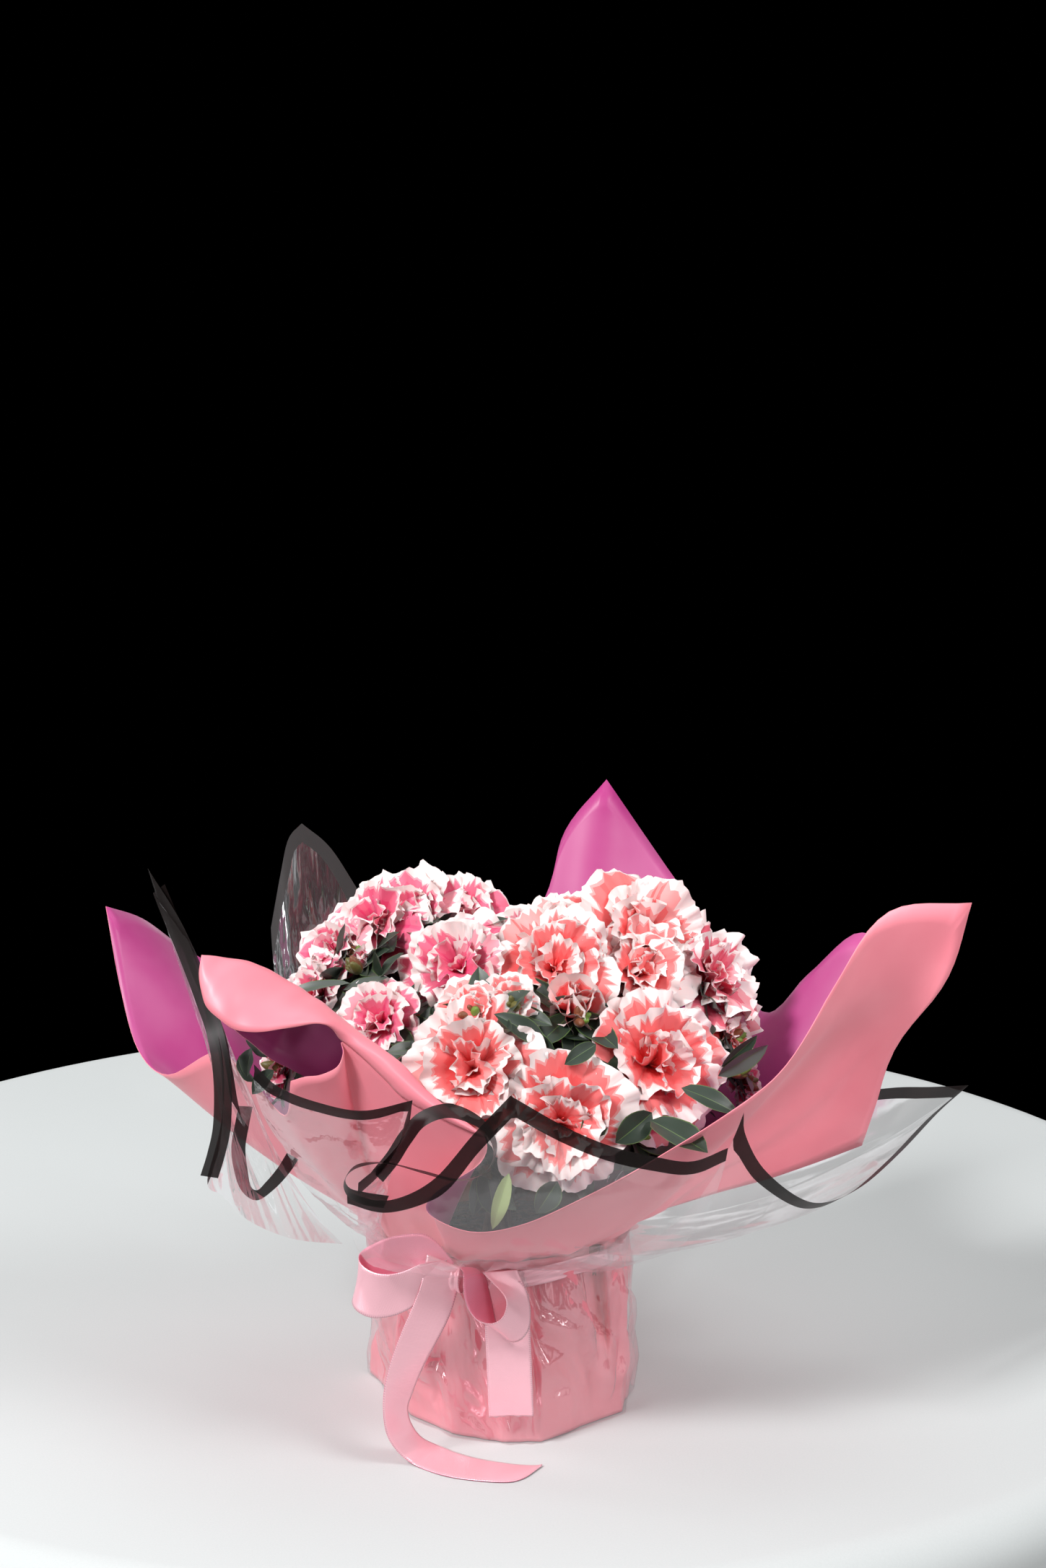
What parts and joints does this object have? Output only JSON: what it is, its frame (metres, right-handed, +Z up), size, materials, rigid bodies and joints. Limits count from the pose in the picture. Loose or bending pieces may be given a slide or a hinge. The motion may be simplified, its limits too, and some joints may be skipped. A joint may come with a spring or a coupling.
{
  "type": "gift-wrapped potted azalea shrub",
  "caption": "Low, dense shrub with ruffled double blooms and small leaves in a florist's pot, wrapped in flared two-sided paper and clear film and tied with a satin bow.",
  "frame": {"origin": "centre of the flat underside of the pot, on the surface that it stands on", "axes": "+Z up the plant; -Y towards the front, the side with the bow; +X to the right when seen from the front"},
  "size_m": [0.4955, 0.3176, 0.3332],
  "materials": {
    "pot_plastic": "satin",
    "peat": "matte",
    "bark": "matte",
    "foliage": "matte",
    "paper": "satin",
    "film": "gloss",
    "satin": "satin"
  },
  "bodies": {
    "root": {"pot": "pot_plastic", "root_ball": "peat", "trunk": "bark", "bough_front": "bark", "bough_right_front": "bark", "bough_right": "bark", "bough_top": "bark", "bough_left_front": "bark", "bough_left": "bark", "bough_back_left": "bark", "bough_back": "bark", "bough_back_right": "bark", "mass_front": "foliage", "mass_right_front": "foliage", "mass_right": "foliage", "mass_top": "foliage", "mass_left_front": "foliage", "mass_left": "foliage", "mass_back_left": "foliage", "mass_back": "foliage", "mass_back_right": "foliage", "paper_sleeve": "paper", "paper_back_corner": "paper", "paper_right_corner": "paper", "paper_front_lip": "paper", "paper_front_left": "paper", "paper_left_corner": "paper", "paper_rolled_corner": "paper", "film_sleeve": "film", "film_front": "film", "film_front_left": "film", "film_right": "film", "film_back_left": "film", "film_left": "film", "ribbon_band": "satin", "ribbon_knot": "satin", "ribbon_loop_left": "satin", "ribbon_loop_right": "satin", "ribbon_tail_short": "satin", "ribbon_tail_long": "satin"}
  },
  "joints": []
}
